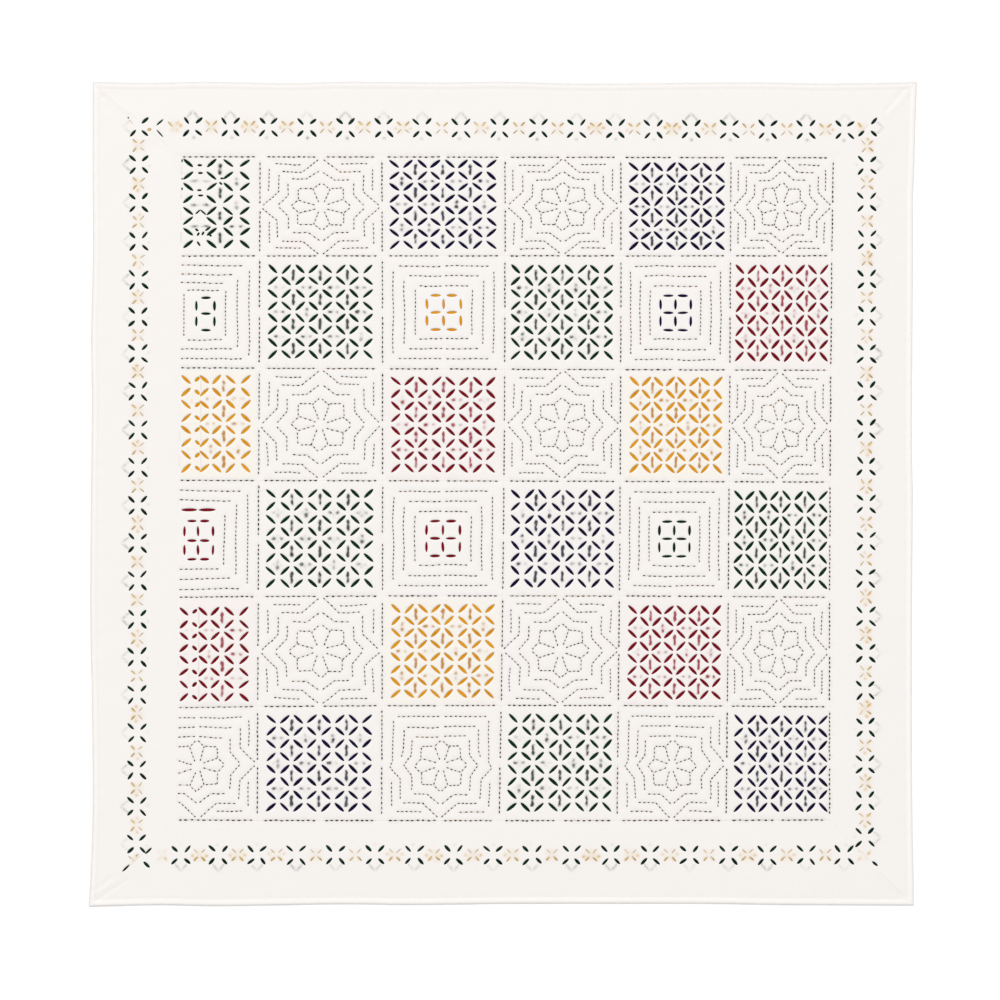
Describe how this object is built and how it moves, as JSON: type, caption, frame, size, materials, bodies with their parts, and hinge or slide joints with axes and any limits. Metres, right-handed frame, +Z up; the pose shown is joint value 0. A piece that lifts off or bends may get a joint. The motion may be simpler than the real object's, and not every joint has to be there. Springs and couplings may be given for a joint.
{
  "type": "applique bedspread",
  "caption": "Square white cotton bedspread of cut leaf lattice, nested square and stitched star blocks inside a mitred border with a band of small cut crosses.",
  "frame": {"origin": "middle of the whole cover's box, on the underside that rests on the bed", "axes": "+Z up out of the face, +X to the right and +Y to the head end as the picture shows it"},
  "size_m": [2.265, 2.2558, 0.004],
  "materials": {
    "white_cotton": "matte plain weave",
    "white_back": "matte plain weave",
    "green_cotton": "matte plain weave",
    "navy_cotton": "matte plain weave",
    "red_cotton": "matte plain weave",
    "gold_cotton": "matte plain weave"
  },
  "bodies": {
    "root": {"back_sheet": "white_back", "border_south": "white_cotton", "border_east": "white_cotton", "border_north": "white_cotton", "border_west": "white_cotton", "patch_row1_col1": "green_cotton", "leaf_row1_col1": "white_cotton", "star_row1_col2": "white_cotton", "patch_row1_col3": "navy_cotton", "leaf_row1_col3": "white_cotton", "star_row1_col4": "white_cotton", "patch_row1_col5": "navy_cotton", "leaf_row1_col5": "white_cotton", "star_row1_col6": "white_cotton", "nested_row2_col1": "white_cotton", "patch_row2_col2": "green_cotton", "leaf_row2_col2": "white_cotton", "nested_row2_col3": "white_cotton", "patch_row2_col4": "green_cotton", "leaf_row2_col4": "white_cotton", "nested_row2_col5": "white_cotton", "patch_row2_col6": "red_cotton", "leaf_row2_col6": "white_cotton", "patch_row3_col1": "gold_cotton", "leaf_row3_col1": "white_cotton", "star_row3_col2": "white_cotton", "patch_row3_col3": "red_cotton", "leaf_row3_col3": "white_cotton", "star_row3_col4": "white_cotton", "patch_row3_col5": "gold_cotton", "leaf_row3_col5": "white_cotton", "star_row3_col6": "white_cotton", "nested_row4_col1": "white_cotton", "patch_row4_col2": "green_cotton", "leaf_row4_col2": "white_cotton", "nested_row4_col3": "white_cotton", "patch_row4_col4": "navy_cotton", "leaf_row4_col4": "white_cotton", "nested_row4_col5": "white_cotton", "patch_row4_col6": "green_cotton", "leaf_row4_col6": "white_cotton", "patch_row5_col1": "red_cotton", "leaf_row5_col1": "white_cotton", "star_row5_col2": "white_cotton", "patch_row5_col3": "gold_cotton", "leaf_row5_col3": "white_cotton", "star_row5_col4": "white_cotton", "patch_row5_col5": "red_cotton", "leaf_row5_col5": "white_cotton", "star_row5_col6": "white_cotton", "star_row6_col1": "white_cotton", "patch_row6_col2": "navy_cotton", "leaf_row6_col2": "white_cotton", "star_row6_col3": "white_cotton", "patch_row6_col4": "green_cotton", "leaf_row6_col4": "white_cotton", "star_row6_col5": "white_cotton", "patch_row6_col6": "navy_cotton", "leaf_row6_col6": "white_cotton"}
  },
  "joints": []
}
